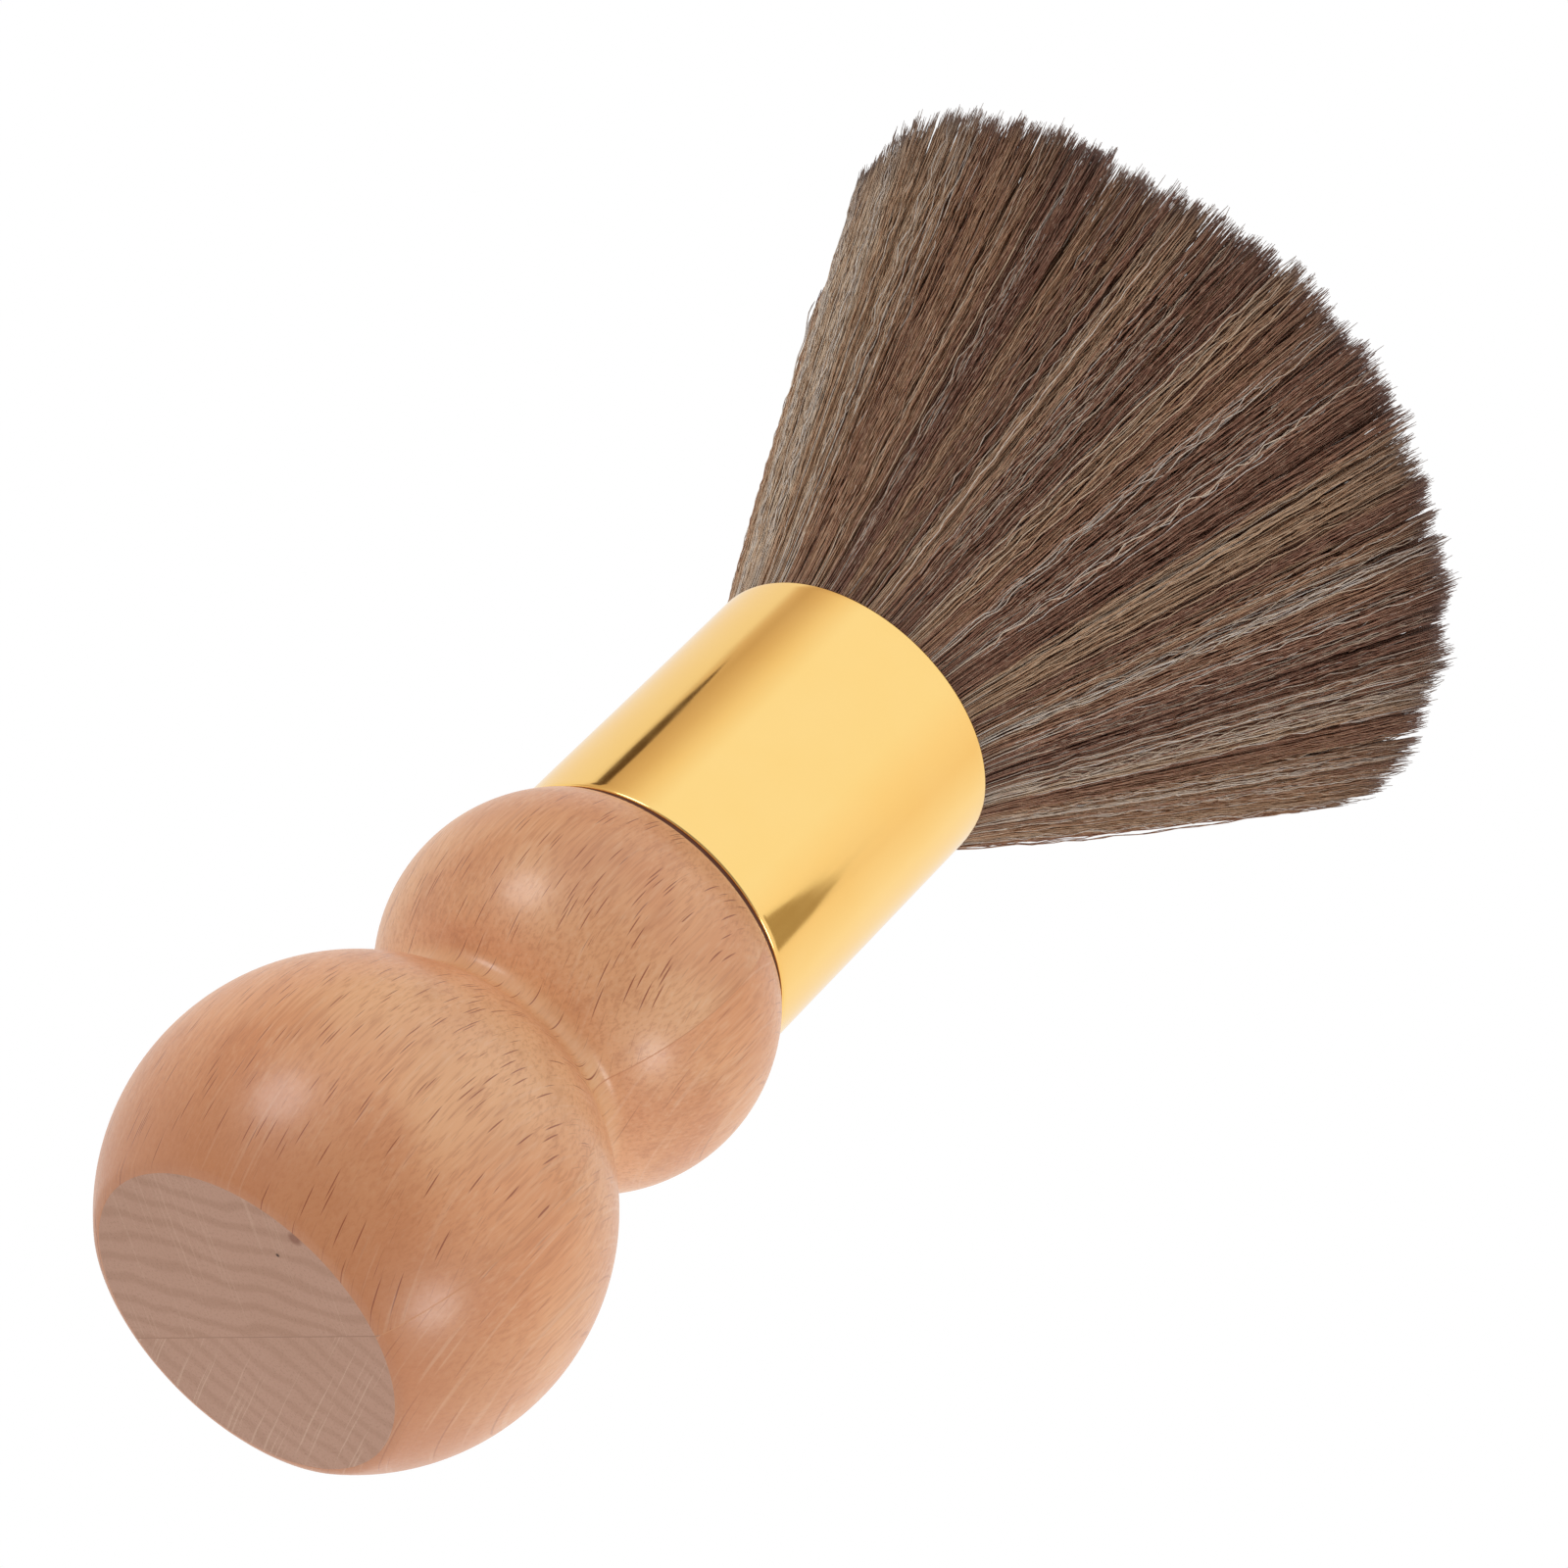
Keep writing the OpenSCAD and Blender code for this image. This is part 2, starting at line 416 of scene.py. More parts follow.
def fibre(name):
    """Fibre colour by strand: the strand map's column gives the tone and its row the place along it."""
    made, t = material(name)
    spot = t.add("ShaderNodeUVMap", uv_map="OFBake").outputs[0]
    u, v, _ = t.add("ShaderNodeSeparateXYZ", {"Vector": spot}).outputs
    column = t.math("FLOOR", t.math("MULTIPLY", u, FIBRE_TONES))
    tone = t.math("DIVIDE", column, FIBRE_TONES - 1.0)
    colour = t.ramp(
        tone,
        [
            (0.00, srgb(140, 97, 79)),
            (0.25, srgb(178, 130, 106)),
            (0.50, srgb(207, 166, 130)),
            (0.70, srgb(230, 203, 173)),
            (0.85, srgb(236, 220, 200)),
            (1.00, srgb(252, 247, 241)),
        ],
    )
    along = t.combine(t.math("MULTIPLY", tone, 40.0), t.math("MULTIPLY", v, 3.0), 0.0)
    grain = t.noise(along, 3.0, 2.0)
    colour = t.mix(t.smooth(grain, 0.3, 0.7, 0.0, 0.25), colour, srgb(158, 110, 88))
    # light and dark along the fibre, as its crimp turns to the light and away
    kinks = t.combine(t.math("MULTIPLY", u, 260.0), t.math("MULTIPLY", v, 70.0), 0.0)
    crimp = t.noise(kinks, 1.0, 1.0)
    colour = t.mix(t.smooth(crimp, 0.50, 0.72, 0.0, 0.55), colour, srgb(236, 208, 180))
    colour = t.mix(t.smooth(crimp, 0.50, 0.30, 0.0, 0.50), colour, srgb(104, 70, 56))
    # painted shade: a little darker at the mouth, where the fibres crowd and shade each other; and darker
    # towards the tip
    colour = t.mix(t.smooth(v, 0.0, 0.12, 0.22, 0.0), colour, srgb(100, 72, 58))
    colour = t.mix(t.smooth(v, 0.80, 0.94, 0.0, 0.30), colour, srgb(120, 84, 70))
    colour = t.mix(t.smooth(v, 0.94, 0.995, 0.0, 0.75), colour, srgb(98, 74, 70))
    t.surface(
        Base_Color=colour,
        Roughness=t.smooth(v, 0.0, 1.0, 0.50, 0.62),
        Specular_IOR_Level=0.35,
    )
    return made


def packed_fibre(name):
    """Fibres too close together to tell apart: fine streaks that run out from the ferrule."""
    made, t = material(name)
    place = t.add("ShaderNodeTexCoord").outputs["Object"]
    x, y, z = t.add("ShaderNodeSeparateXYZ", {"Vector": place}).outputs
    turn = t.math("MULTIPLY", t.math("ARCTAN2", y, x), 14.0)
    square = t.math("ADD", t.math("MULTIPLY", x, x), t.math("MULTIPLY", y, y))
    out = t.math("MULTIPLY", t.math("SQRT", square), 15.0)
    streaks = t.noise(t.combine(turn, out, t.math("MULTIPLY", z, 20.0)), 5.0, 3.0, 0.7)
    colour = t.mix(t.smooth(streaks, 0.35, 0.7), srgb(136, 98, 78), srgb(176, 132, 106))
    t.surface(
        Base_Color=colour,
        Roughness=t.smooth(streaks, 0.3, 0.7, 0.65, 0.8),
        Normal=t.bump(streaks, 0.0003, 0.6),
    )
    return made


# ---------------------------------------------------------------- turned parts
def arc(cx, cz, r, a0, a1, step=1.5):
    """Points (radius, height) on an arc from angle a0 to a1, in degrees."""
    n = max(2, int(abs(a1 - a0) / step))
    turns = [radians(a0 + (a1 - a0) * i / n) for i in range(n + 1)]
    return [(cx + r * cos(a), cz + r * sin(a)) for a in turns]


def handle_profile():
    """Flat end, sanded edge, ball, waist, upper bulb, shoulder and spigot, from axis to axis."""
    ball_h = sqrt(BALL_R**2 - FLAT_R**2)
    bulb = (BULB_R - BULB_ARC, BULB_H)
    # the waist's arc touches the ball's and the bulb's from outside
    a, b = BALL_R + WAIST_ARC, BULB_ARC + WAIST_ARC
    gap = hypot(bulb[0], bulb[1] - ball_h)
    ex, ez = bulb[0] / gap, (bulb[1] - ball_h) / gap
    s = (a * a - b * b + gap * gap) / (2 * gap)
    off = sqrt(a * a - s * s)
    waist = (s * ex + off * ez, ball_h + s * ez - off * ex)
    low = degrees(atan2(waist[1] - ball_h, waist[0]))
    high = degrees(atan2(waist[1] - bulb[1], waist[0] - bulb[0]))
    start = -degrees(asin(ball_h / BALL_R)) + degrees(EDGE / BALL_R)
    ball = arc(0, ball_h, BALL_R, start, low)
    rim_x, rim_z = ball[0]
    edge = [(FLAT_R - EDGE, FLAT_END)]
    for f in (0.3, 0.65):
        edge.append((FLAT_R - EDGE + (rim_x - FLAT_R + EDGE) * f + 0.06 * MM, rim_z * f - 0.03 * MM))
    edge[1:] = [(x, max(z, FLAT_END + 0.02 * MM)) for x, z in edge[1:]]
    corner = SHOULDER_ROUND
    corner_z = SHOULDER - corner
    corner_x = bulb[0] + sqrt((BULB_ARC - corner) ** 2 - (corner_z - bulb[1]) ** 2)
    end = degrees(atan2(corner_z - bulb[1], corner_x - bulb[0]))
    return (
        [(0, FLAT_END)]
        + edge
        + ball
        + arc(*waist, WAIST_ARC, low + 180, high + 180, 6)[1:]
        + arc(*bulb, BULB_ARC, high, end)[1:]
        + arc(corner_x, corner_z, corner, end, 90, 5)[1:]
        + [(SPIGOT_R, SHOULDER), (SPIGOT_R, SPIGOT_TOP), (0, SPIGOT_TOP)]
    )


def turned(profile, around=256):
    """A closed bmesh of a profile turned about the Z axis.

    Points on the axis become single vertices. A profile that starts off the axis is a closed loop.
    """
    bm = bmesh.new()
    turns = [2 * pi * i / around for i in range(around)]
    rings = []
    for r, z in profile:
        if r < 1e-9:
            rings.append([bm.verts.new((0, 0, z))])
        else:
            rings.append([bm.verts.new((r * cos(a), r * sin(a), z)) for a in turns])
    loop = profile[0][0] > 1e-9
    for a, b in zip(rings, rings[1:] + rings[:1] if loop else rings[1:]):
        for i in range(around):
            j = (i + 1) % around
            corners = [a[i % len(a)], a[j % len(a)], b[j % len(b)], b[i % len(b)]]
            bm.faces.new([c for k, c in enumerate(corners) if c not in corners[:k]])
    bmesh.ops.recalc_face_normals(bm, faces=bm.faces)
    return bm


def cut_off(bm, x, keep_low):
    """Cuts a closed bmesh by the plane at x and closes it with one flat face."""
    geometry = bm.verts[:] + bm.edges[:] + bm.faces[:]
    cut = bmesh.ops.bisect_plane(
        bm,
        geom=geometry,
        dist=1e-8,
        plane_co=(x, 0, 0),
        plane_no=(1, 0, 0),
        clear_outer=keep_low,
        clear_inner=not keep_low,
    )
    edges = [e for e in cut["geom_cut"] if isinstance(e, bmesh.types.BMEdge)]
    bmesh.ops.contextual_create(bm, geom=edges)
    bmesh.ops.recalc_face_normals(bm, faces=bm.faces)


def to_object(bm, name, materials, sharp=30.0):
    """A smooth-shaded object of a bmesh, with sharp edges above an angle in degrees."""
    mesh = bpy.data.meshes.new(name)
    bm.to_mesh(mesh)
    bm.free()
    for m in materials:
        mesh.materials.append(m)
    mesh.polygons.foreach_set("use_smooth", [True] * len(mesh.polygons))
    mesh.set_sharp_from_angle(angle=radians(sharp))
    made = bpy.data.objects.new(name, mesh)
    bpy.context.scene.collection.objects.link(made)
    return made


def mark_flat_end(obj, index):
    """Gives the faces of the flat end another material."""
    for face in obj.data.polygons:
        if face.normal.z < -0.9 and face.center.z < FLAT_END + 0.05 * MM:
            face.material_index = index


def make_handle():
    """The two beech halves and the glue between them, all cut from the same turned shape."""
    profile = handle_profile()
    speck = (-7.7 * MM, -10.3 * MM, 0.28 * MM, 0.9, srgb(52, 34, 28))
    knot = (-9.5 * MM, -14.0 * MM, 1.0 * MM, 0.6, srgb(136, 84, 66))
    # the azimuths of the rays follow the photograph, on the left half's side and flat end separately
    left_side = beech("beech_flat_sawn", -60.0, 0.85, 0.10, (1.0, 1.0, 1.0, 1.0))
    left_end = end_grain("end_grain_left", 104.7, 0.27, 0.28, (speck, knot))
    right_side = beech("beech_quarter_sawn", 142.7, 0.34, 0.18, (1.0, 0.975, 0.955, 1.0))
    right_end = end_grain("end_grain_right", 142.7, 0.20, 0.55)
    line = glue("seam_glue", srgb(218, 154, 110), srgb(204, 140, 98), 0.45, srgb(174, 131, 108))

    bm = turned(profile)
    cut_off(bm, SEAM_LOW, True)
    left = to_object(bm, "beech_half_left", [left_side, left_end])
    mark_flat_end(left, 1)
    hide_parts("handle_block_left")

    bm = turned(profile)
    cut_off(bm, SEAM_HIGH, False)
    right = to_object(bm, "beech_half_right", [right_side, right_end])
    mark_flat_end(right, 1)
    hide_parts("handle_block_right")

    bm = turned(profile)
    cut_off(bm, SEAM_LOW, False)
    cut_off(bm, SEAM_HIGH, True)
    seam = to_object(bm, "seam_glue_layer", [line])
    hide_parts("handle_glue_line")
    for piece in (left, right, seam):
        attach(piece, "handle")


def make_ferrule():
    """The tube with its rolled rims. Its side wavers by a few hundredths, as thin drawn tube does."""
    half = (TUBE_R - BORE_R) / 2
    mid = BORE_R + half
    length = MOUTH - TUBE_LOW
    outer = [(TUBE_R, TUBE_LOW + half + (length - 2 * half) * i / 60) for i in range(61)]
    inner = [(BORE_R, z) for _, z in reversed(outer)]
    upper_rim = arc(mid, MOUTH - half, half, 0, 180, 20)[1:-1]
    lower_rim = arc(mid, TUBE_LOW + half, half, 180, 360, 20)[1:-1]
    bm = turned(outer + upper_rim + inner + lower_rim)
    for v in bm.verts:
        angle = atan2(v.co.y, v.co.x)
        r = hypot(v.co.x, v.co.y)
        h = (v.co.z - TUBE_LOW) / length
        waver = 0.022 * sin(3 * angle + 2.2 * h + 0.4) + 0.012 * sin(7 * angle - 5 * h + 1.0)
        # a dent near the joint, too shallow to see once the waver fades out towards the rim
        turn = degrees(atan2(v.co.x, -v.co.y))
        waver -= 0.10 * exp(-(((turn - 24) / 5) ** 2) - ((h - 0.10) / 0.05) ** 2)
        grow = 1 - 0.02 * MM / r + waver * MM * sin(pi * min(max(h, 0), 1)) / r
        v.co.x *= grow
        v.co.y *= grow
    tube = to_object(bm, "gold_ferrule", [gold()], 60.0)
    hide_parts("ferrule")
    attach(tube, "handle")


# ---------------------------------------------------------------- bristles
def nearest(points, centres):
    """Index of the nearest centre to each 2-D point."""
    found = np.empty(len(points), int)
    for i in range(0, len(points), 1000):
        d = ((points[i : i + 1000, None, :] - centres[None, :, :]) ** 2).sum(2)
        found[i : i + 1000] = d.argmin(1)
    return found


def in_disc(rng, n, low, high):
    """n points between two shares of the unit disc's radius, spread evenly."""
    rho = np.sqrt(rng.uniform(low**2, high**2, n))
    phi = rng.uniform(0, 2 * pi, n)
    return np.stack([rho * np.cos(phi), rho * np.sin(phi)], 1)


class Locks:
    """Locks of fibres that lean together and share a tone, and the small tufts that their tips form."""

    def __init__(self, rng):
        n, k = 900, 3400  # locks and small tufts in the whole brush
        self.big = in_disc(rng, n, 0, 1)
        self.small = in_disc(rng, k, 0, 1)
        kind = rng.choice(4, n, p=[0.50, 0.28, 0.16, 0.06])
        self.tone = np.array([0.10, 0.21, 0.36, 0.50])[kind] + rng.normal(0, 0.05, n)
        self.tone += by_azimuth(self.big[:, 0], self.big[:, 1], PALER)
        self.lean = rng.normal(0, 0.006, (n, 2))
        self.reach = rng.normal(0, 0.007, n)
        self.small_reach = rng.normal(0, 0.005, k)
        self.small_phase = rng.uniform(0, 2 * pi, (k, 2))
        self.small_wave = rng.uniform(5.0, 8.0, k) * MM
        self.small_pale = rng.uniform(0, 1, k) ** 3


def strand_paths(rng, locks, disc, rings, start, wave, gather):
    """Centre lines of fibres, tips last, with the share of the length at each ring and their locks.

    start is the share at which a fibre begins and wave the strength of its crimp. gather is how far
    the tips draw together into small points.
    """
    big = nearest(disc, locks.big)
    small = nearest(disc, locks.small)
    root, span = strand_spans(rng, locks, disc, big, small, gather)
    t = start + (1 - start) * np.linspace(0, 1, rings)[None, :] * np.ones((len(disc), 1))
    spread = (t + np.sqrt(t * t + 0.03**2)) / 2  # straight up inside the tube, then out
    path = root[:, None, :] + span[:, None, :] * np.stack([spread, spread, t], 2)
    path += crimp(rng, locks, small, span, t, wave)
    return path, t, big, small


def strand_spans(rng, locks, disc, big, small, gather):
    """Root of each fibre in the mouth, and the straight way from there to its tip."""
    n = len(disc)
    rho = np.linalg.norm(disc, axis=1)
    aim = disc + gather * (locks.small[small] - disc) + locks.lean[big] * rho[:, None]
    rim = np.linalg.norm(aim, axis=1)
    aim *= (np.minimum(rim, 1.02) / np.maximum(rim, 1e-6))[:, None]
    rim = np.linalg.norm(aim, axis=1)
    wide = RIM_R * (1 + by_azimuth(aim[:, 0], aim[:, 1], WIDER))
    tip = np.column_stack([aim * wide[:, None], MOUTH + CROWN - (CROWN - RIM_H) * rim**2])
    tip[:, :2] += (tip[:, 2:] - MOUTH) * np.array(LEAN)[None, :2]
    root = np.column_stack([disc * ROOT_R, np.full(n, MOUTH)])
    reach = 1 + by_azimuth(tip[:, 0], tip[:, 1], LONGER) * rim
    reach = reach + locks.reach[big] + locks.small_reach[small]
    reach -= np.abs(rng.normal(0, 0.008, n))
    stray = rng.uniform(0, 1, n) < 0.025
    reach[stray] += rng.uniform(0.008, 0.022, stray.sum())
    reach = np.minimum(reach, 1.15)
    return root, (tip - root) * reach[:, None]


def crimp(rng, locks, small, span, t, wave):
    """Sideways offsets along each fibre: its crimp, which starts above the mouth, and a slight bow."""
    n = len(span)
    length = np.linalg.norm(span, axis=1)
    ahead = span / length[:, None]
    side = np.cross(ahead, np.array([0.0, 0.0, 1.0]) + rng.normal(0, 0.05, (n, 3)))
    side /= np.linalg.norm(side, axis=1)[:, None]
    up = np.cross(ahead, side)
    swell = np.clip((t - 0.02) / 0.15, 0, 1)
    swell = swell * swell * (3 - 2 * swell)
    turn = 2 * pi * t * (length / (locks.small_wave[small] * rng.normal(1, 0.06, n)))[:, None]
    phase = locks.small_phase[small] + rng.normal(0, 0.7, (n, 2))
    first, second = phase[:, :1], phase[:, 1:]
    turn += 1.3 * np.sin(2 * pi * 1.6 * t + second)  # tighter and slacker along the fibre
    size = rng.uniform(0.4, 1.2, n)[:, None] * swell * wave
    across = 0.17 * MM * size * np.sin(turn + first) + 0.07 * MM * size * np.sin(1.7 * turn + second)
    through = 0.12 * MM * size * np.sin(turn * 0.9 + second)
    bow = np.sin(pi * np.clip(t, 0, 1))
    across += bow * rng.normal(0, 0.45 * MM, n)[:, None]
    through += bow * rng.normal(0, 0.30 * MM, n)[:, None]
    return side[:, None, :] * across[..., None] + up[:, None, :] * through[..., None]


def strand_tones(rng, locks, big, small):
    """Tone of each fibre from 0, dark brown, to 1, pale grey."""
    n = len(big)
    tone = np.clip(locks.tone[big] + rng.normal(0, 0.09, n), 0, 0.76)
    pale = rng.uniform(0, 1, n) < 0.01 + 0.12 * locks.small_pale[small] ** 2
    tone[pale] = rng.uniform(0.82, 1.0, pale.sum())
    return tone, pale


def tubes(name, path, t, radius, tone, skin):
    """One mesh of closed three-sided fibres, with the strand map that the fibre material reads."""
    n, m = path.shape[:2]
    ahead = np.gradient(path, axis=1)
    ahead /= np.linalg.norm(ahead, axis=2, keepdims=True)
    ref = np.cross(ahead.mean(1), np.array([0.31, 0.17, 0.93]))
    side = np.cross(ahead, ref[:, None, :])
    side /= np.linalg.norm(side, axis=2, keepdims=True)
    up = np.cross(ahead, side)
    corner = [2 * pi * k / 3 for k in range(3)]
    ring = np.stack([side * cos(a) + up * sin(a) for a in corner], 2)
    verts = path[:, :, None, :] + ring * radius[:, :, None, None]
    loops, uvs, sizes = tube_faces(n, m, t, tone)
    starts = np.concatenate([[0], np.cumsum(sizes)[:-1]]).astype(np.int32)
    mesh = bpy.data.meshes.new(name)
    mesh.vertices.add(n * m * 3)
    mesh.vertices.foreach_set("co", verts.reshape(-1).astype(np.float32))
    mesh.loops.add(len(loops))
    mesh.loops.foreach_set("vertex_index", loops)
    mesh.polygons.add(len(sizes))
    mesh.polygons.foreach_set("loop_start", starts)
    mesh.update(calc_edges=True)
    mesh.polygons.foreach_set("use_smooth", np.ones(len(sizes), bool))
    layer = mesh.uv_layers.new(name="OFBake")
    layer.data.foreach_set("uv", np.clip(uvs, 0.001, 0.999).reshape(-1).astype(np.float32))
    mesh.materials.append(skin)
    made = bpy.data.objects.new(name, mesh)
    bpy.context.scene.collection.objects.link(made)
    return made


def tube_faces(n, m, t, tone):
    """Corners, strand map and face sizes of n three-sided tubes with m rings and their end caps."""
    first = (np.arange(n) * m * 3)[:, None, None]
    j = (np.arange(m - 1) * 3)[None, :, None]
    k = np.arange(3)[None, None, :]
    k2 = (k + 1) % 3
    quads = np.stack([first + j + k, first + j + k2, first + j + 3 + k2, first + j + 3 + k], -1)
    column = np.floor(tone * (FIBRE_TONES - 1) + 0.5)[:, None, None]
    left = (column + 0.12 + 0.76 * k / 3) / FIBRE_TONES + np.zeros((n, m - 1, 3))
    right = (column + 0.12 + 0.76 * (k + 1) / 3) / FIBRE_TONES + np.zeros((n, m - 1, 3))
    low = np.broadcast_to(t[:, :-1, None], left.shape)
    high = np.broadcast_to(t[:, 1:, None], left.shape)
    around = ((left, low), (right, low), (right, high), (left, high))
    quad_uv = np.stack([np.stack(corner, -1) for corner in around], 3)
    base = first[:, :, 0] + np.array([[2, 1, 0]])
    cap = first[:, :, 0] + (m - 1) * 3 + np.array([[0, 1, 2]])
    middle = (column[:, :, 0] + 0.5) / FIBRE_TONES + np.array([[-0.003, 0.0, 0.003]])
    base_uv = np.stack([middle, t[:, :1] + np.array([[0.0, 0.004, 0.0]])], -1)
    cap_uv = np.stack([middle, t[:, -1:] - np.array([[0.0, 0.004, 0.0]])], -1)

    loops = np.concatenate([quads.reshape(-1), base.reshape(-1), cap.reshape(-1)]).astype(np.int32)
    uvs = np.concatenate([quad_uv.reshape(-1, 2), base_uv.reshape(-1, 2), cap_uv.reshape(-1, 2)])
    sizes = np.concatenate([np.full(n * (m - 1) * 3, 4), np.full(2 * n, 3)])
    return loops, uvs, sizes


def bend_with_tuft(piece):
    """Bakes a bristle piece's placement into its mesh."""
    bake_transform(piece)


def pale_bunches(rng, n):
    """Places in the disc for pale fibres, which run in loose bunches near the outside."""
    count = 130
    centre = in_disc(rng, count, 0.965, 1.0)
    weight = rng.uniform(0.1, 1, count) ** 2 * (1 + 14 * by_azimuth(centre[:, 0], centre[:, 1], PALER))
    bunch = rng.choice(count, n, p=weight / weight.sum())
    disc = centre[bunch] + rng.normal(0, 0.014, (n, 2))
    return disc / np.maximum(np.linalg.norm(disc, axis=1) / 1.01, 1)[:, None]


# Fibres of each layer, shares of the disc's radius, rings along the fibre, the share of its length at
# which it begins, wave and gather. The long fibres come in several meshes, to keep each one light.
OUTER = (960, 0.94, 1.00, 35, -0.07, 0.9, 0.13)
SECOND = (2000, 0.84, 0.955, 17, -0.07, 0.8, 0.10)
LAYERS = (
    *((f"bristles_outer_{part}", *OUTER) for part in "abcde"),
    *((f"bristles_second_{part}", *SECOND) for part in "ab"),
    ("bristles_fringe", 6000, 0.90, 1.00, 6, 0.80, 0.6, 0.0),
    ("bristles_middle", 4500, 0.56, 0.88, 8, 0.60, 0.7, 0.10),
    ("bristles_inner", 6000, 0.0, 0.62, 6, 0.78, 0.7, 0.10),
    ("bristles_pale", 640, 0.96, 1.01, 51, -0.05, 1.35, 0.10),
)


def make_bristles():
    """All the fibres that can be seen, layer by layer, from one seeded generator."""
    rng = np.random.default_rng(SEED)
    locks = Locks(rng)
    skin = fibre("bristle_fibre")
    for name, n, low, high, rings, start, wave, gather in LAYERS:
        only_pale = name == "bristles_pale"
        disc = pale_bunches(rng, n) if only_pale else in_disc(rng, n, low, high)
        path, t, big, small = strand_paths(rng, locks, disc, rings, start, wave, gather)
        tone, pale = strand_tones(rng, locks, big, small)
        if only_pale:
            pale[:] = True
            tone = rng.uniform(0.76, 1.0, n)
        pale_r, plain_r = rng.uniform(0.052, 0.078, n), rng.uniform(0.055, 0.075, n)
        radius = np.where(pale, pale_r, plain_r)[:, None] * MM
        taper = np.clip((1 - t) / 0.02, 0.4, 1)
        piece = tubes(name, path, np.clip(t, 0, 1), radius * taper, tone, skin)
        bend_with_tuft(piece)


def make_core():
    """A dark body inside the tuft, in place of the fibres that can't be seen. It starts in the ferrule."""
    sunk = 5 * MM  # below the mouth
    low_r, high_r = ROOT_R * 0.93, RIM_R * 0.80
    side_h, dome_h = RIM_H - 8 * MM, 6 * MM
    side_steps, dome_steps = 24, 12
    profile = [(0, MOUTH - sunk), (low_r, MOUTH - sunk)]
    for i in range(1, side_steps + 1):
        f = i / side_steps
        profile.append((low_r + (high_r - low_r) * f, MOUTH + side_h * f))
    for i in range(1, dome_steps):
        a = i / dome_steps * pi / 2
        profile.append((high_r * cos(a), MOUTH + side_h + dome_h * sin(a)))
    profile.append((0, MOUTH + side_h + dome_h))
    bm = turned(profile, 160)
    for v in bm.verts:
        v.co += LEAN * max(v.co.z - MOUTH, 0)
    core = to_object(bm, "bristle_core", [packed_fibre("packed_fibre")], 50.0)
    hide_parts("bristle_tuft")
    bend_with_tuft(core)


# ---------------------------------------------------------------- the other CAD nodes and the stage
def dress_hidden_nodes():
    """Materials for the CAD nodes that stay: glue at the ferrule, resin and packed roots."""
    finish = {
        "ferrule_adhesive": glue("dark_adhesive", srgb(104, 54, 32), srgb(72, 34, 22), 0.6),
        "resin_plug": glue("cast_resin", srgb(184, 155, 98), srgb(160, 128, 78), 0.25),
        "knot_root": packed_fibre("root_fibre"),
    }
    for name, made in finish.items():
        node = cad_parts[name]
        node.data.materials.clear()
        node.data.materials.append(made)


def make_stage():
    """Pale floor just below the flat end. It is clear from below, where the photograph's camera is."""
    mesh = bpy.data.meshes.new("floor")
    half, z = 4.0, -0.5 * MM
    corners = [(-half, -half, z), (half, -half, z), (half, half, z), (-half, half, z)]
    mesh.from_pydata(corners, [], [(0, 1, 2, 3)])
    floor = bpy.data.objects.new("floor", mesh)
    bpy.context.scene.collection.objects.link(floor)
    made, t = material("pale_floor")
    back = t.add("ShaderNodeNewGeometry").outputs["Backfacing"]
    paper = t.add("ShaderNodeBsdfDiffuse", {"Color": srgb(240, 239, 237)}).outputs[0]
    clear = t.add("ShaderNodeBsdfTransparent").outputs[0]
    both = t.add("ShaderNodeMixShader", {0: back, 1: paper, 2: clear}).outputs[0]
    t.add("ShaderNodeOutputMaterial", {"Surface": both})
    mesh.materials.append(made)
    floor.visible_shadow = False
    floor.visible_diffuse = False
    floor.visible_glossy = False


CARD_DISTANCE = 0.12  # from the ferrule


def mirrored_card(name, azimuth, spot, corners, colour):
    """A dim card, seen only in reflections, that the ferrule mirrors at a spot in the photograph's view.

    azimuth is the way from the spot to the card, and its height is the camera's turned over, since the
    ferrule stands upright. The spot and the card's corners are in millimetres.
    """
    out = towards(azimuth, -CAMERA["elevation"])
    at = Vector(spot) * MM + out * CARD_DISTANCE
    across = Vector((-out.y, out.x, 0)).normalized()
    up = across.cross(out) * (1 if across.cross(out).z > 0 else -1)
    mesh = bpy.data.meshes.new(name)
    outline = [at + across * a * MM + up * b * MM for a, b in corners]
    mesh.from_pydata(outline, [], [tuple(range(len(outline)))])
    card = bpy.data.objects.new(name, mesh)
    bpy.context.scene.collection.objects.link(card)
    made, t = material(name)
    glow = t.add("ShaderNodeEmission", {"Color": (*colour, 1)}).outputs[0]
    t.add("ShaderNodeOutputMaterial", {"Surface": glow})
    mesh.materials.append(made)
    card.visible_camera = card.visible_diffuse = card.visible_shadow = card.visible_transmission = False


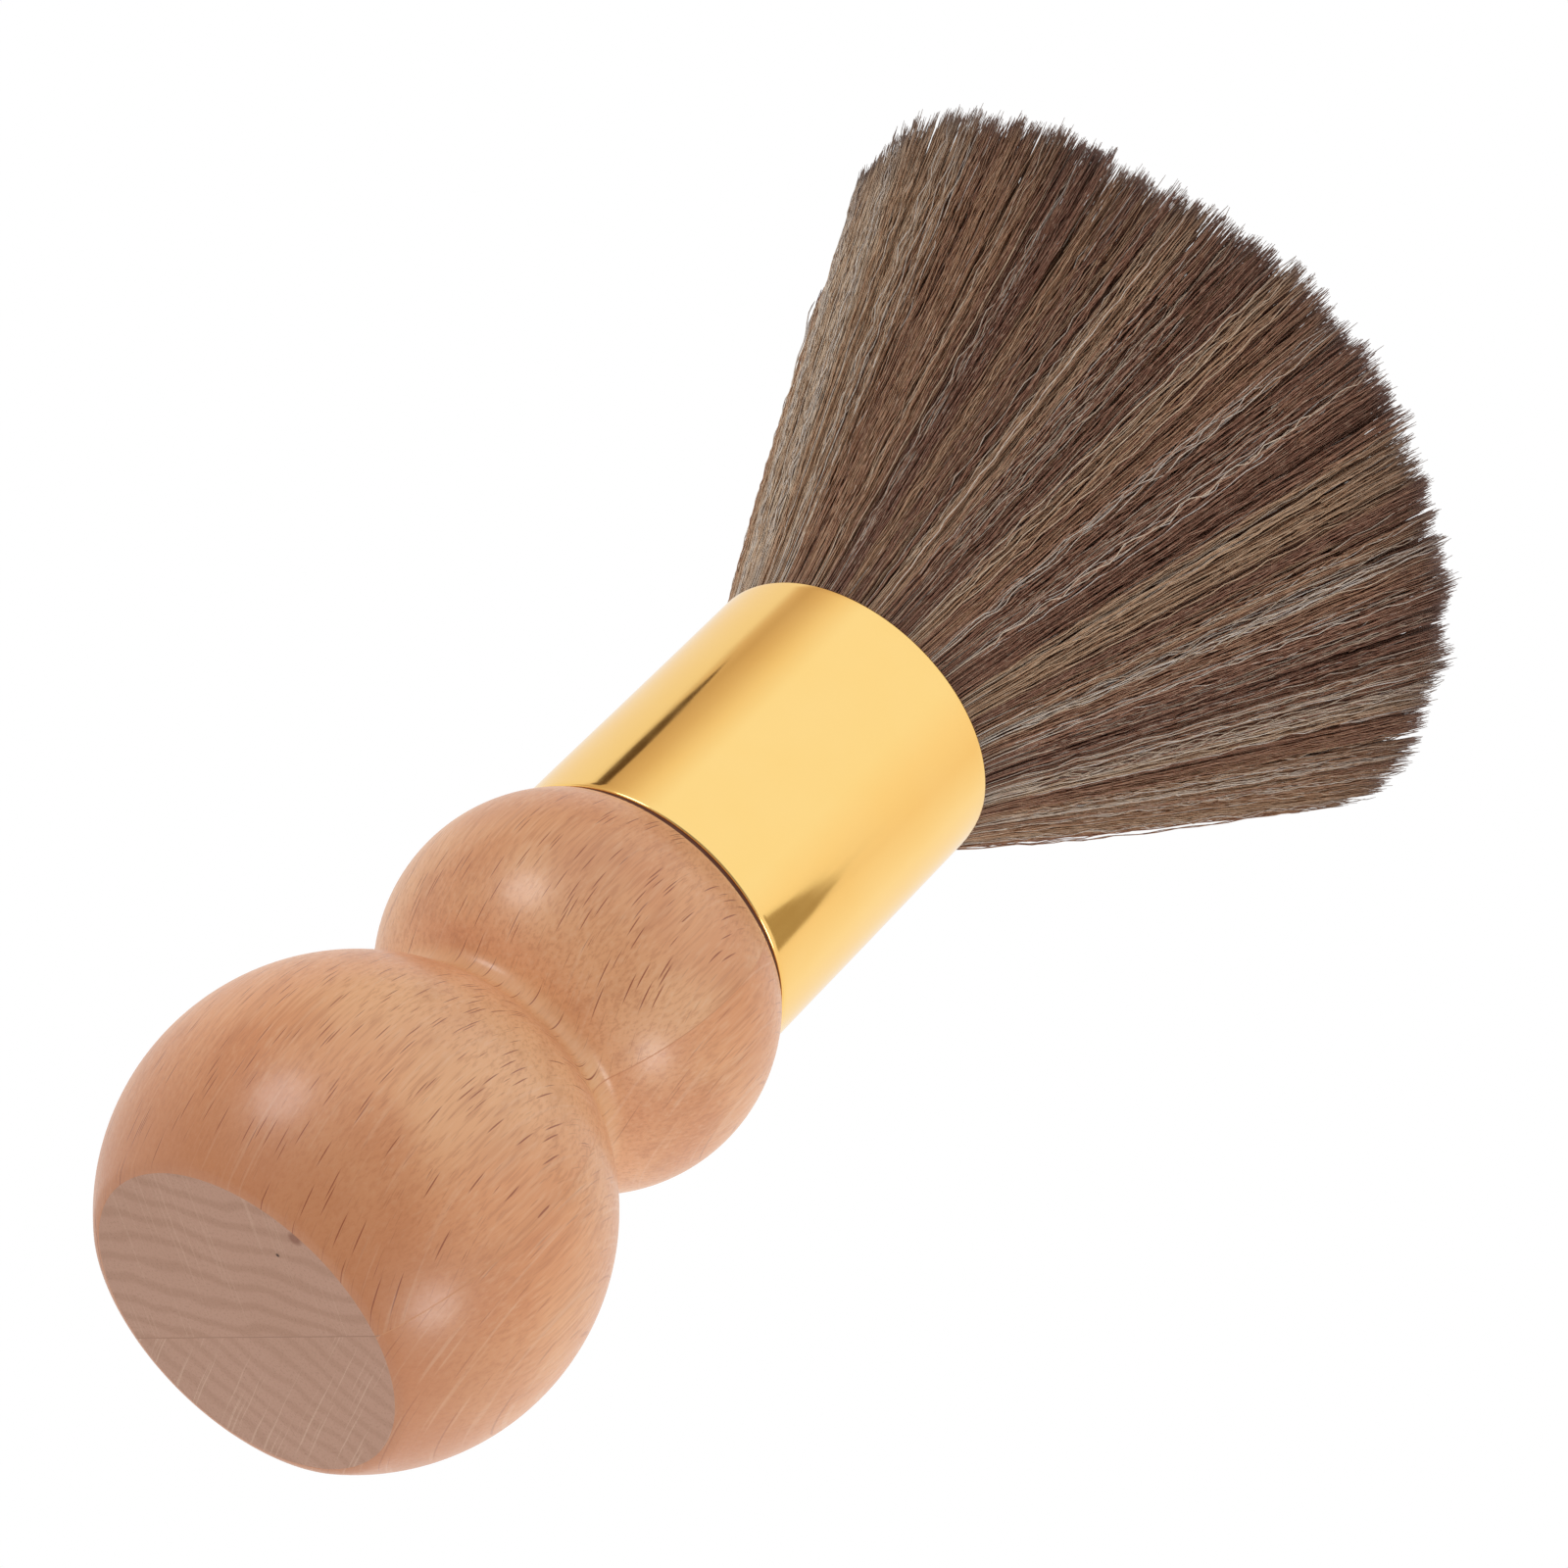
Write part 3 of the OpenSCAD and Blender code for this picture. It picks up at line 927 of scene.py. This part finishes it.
def make_cards():
    """The brown patch near the joint at the lower right, and the dark line at the left."""
    leaf = [(-28, -16), (26, -16), (30, -6), (27, 0), (18, 4), (6, 2), (-10, -2), (-24, -7)]
    mirrored_card("dark_card", 39.0, (2, -17, 70), leaf, (0.42, 0.33, 0.22))
    sliver = [(-7, -16), (7, -16), (8, 0), (6, 7), (1, 14), (-4, 7), (-7, 0)]
    mirrored_card("dark_sliver", -122.6, (-16.9, -4.6, 70), sliver, (0.10, 0.06, 0.035))


def make_world():
    """Plain white behind the brush, and a pale studio for the light that falls on it.

    Polished surfaces mirror the studio's walls in colour. Matt ones get it plain and dimmer.
    """
    world = bpy.data.worlds.new("studio")
    bpy.context.scene.world = world
    t = Tree(world)
    ray = t.add("ShaderNodeTexCoord").outputs["Generated"]
    x, y, z = t.add("ShaderNodeSeparateXYZ", {"Vector": ray}).outputs
    azimuth = t.math("ARCTAN2", x, t.math("MULTIPLY", y, -1.0))
    around = t.math("ADD", t.math("DIVIDE", azimuth, 2 * pi), 0.5)
    walls = t.ramp(around, [(a / 360 + 0.5, (*rgb, 1.0)) for a, rgb in WALLS])
    # darker on the side where the photographer stood, which is a fixed side of the brush
    front = t.dot(ray, towards(CAMERA["azimuth"], CAMERA["elevation"]))
    shade = t.smooth(front, cos(radians(62)), cos(radians(22)), 1.0, 0.30)
    path = t.add("ShaderNodeLightPath").outputs
    matt = path["Is Diffuse Ray"]
    # matt surfaces get least from the far left
    left = t.dot(ray, towards(-150.0, -5.0))
    soft = t.smooth(left, 0.1, 0.95, AMBIENT, AMBIENT * 0.70)
    shade = t.math("MULTIPLY", shade, t.smooth(matt, 0.0, 1.0, 1.0, soft))
    walls = t.mix(matt, walls, (1, 1, 1, 1))
    studio = t.add("ShaderNodeBackground", {"Color": walls, "Strength": shade}).outputs[0]
    white = t.add("ShaderNodeBackground", {"Color": (1, 1, 1, 1)}).outputs[0]
    both = t.add("ShaderNodeMixShader", {0: path["Is Camera Ray"], 1: studio, 2: white}).outputs[0]
    t.add("ShaderNodeOutputWorld", {"Surface": both})


bpy.context.scene.view_settings.view_transform = "Standard"
make_camera()
make_world()
make_stage()
make_cards()
# azimuth, elevation, distance, size, watts
softbox("key", -86.0, -11.0, 0.9, 0.34, 1.8)
softbox("fill", 34.0, -27.0, 0.9, 0.30, 1.5)
softbox("top", 150.0, 62.0, 1.1, 0.5, 3.0)
make_handle()
make_ferrule()
make_bristles()
make_core()
dress_hidden_nodes()
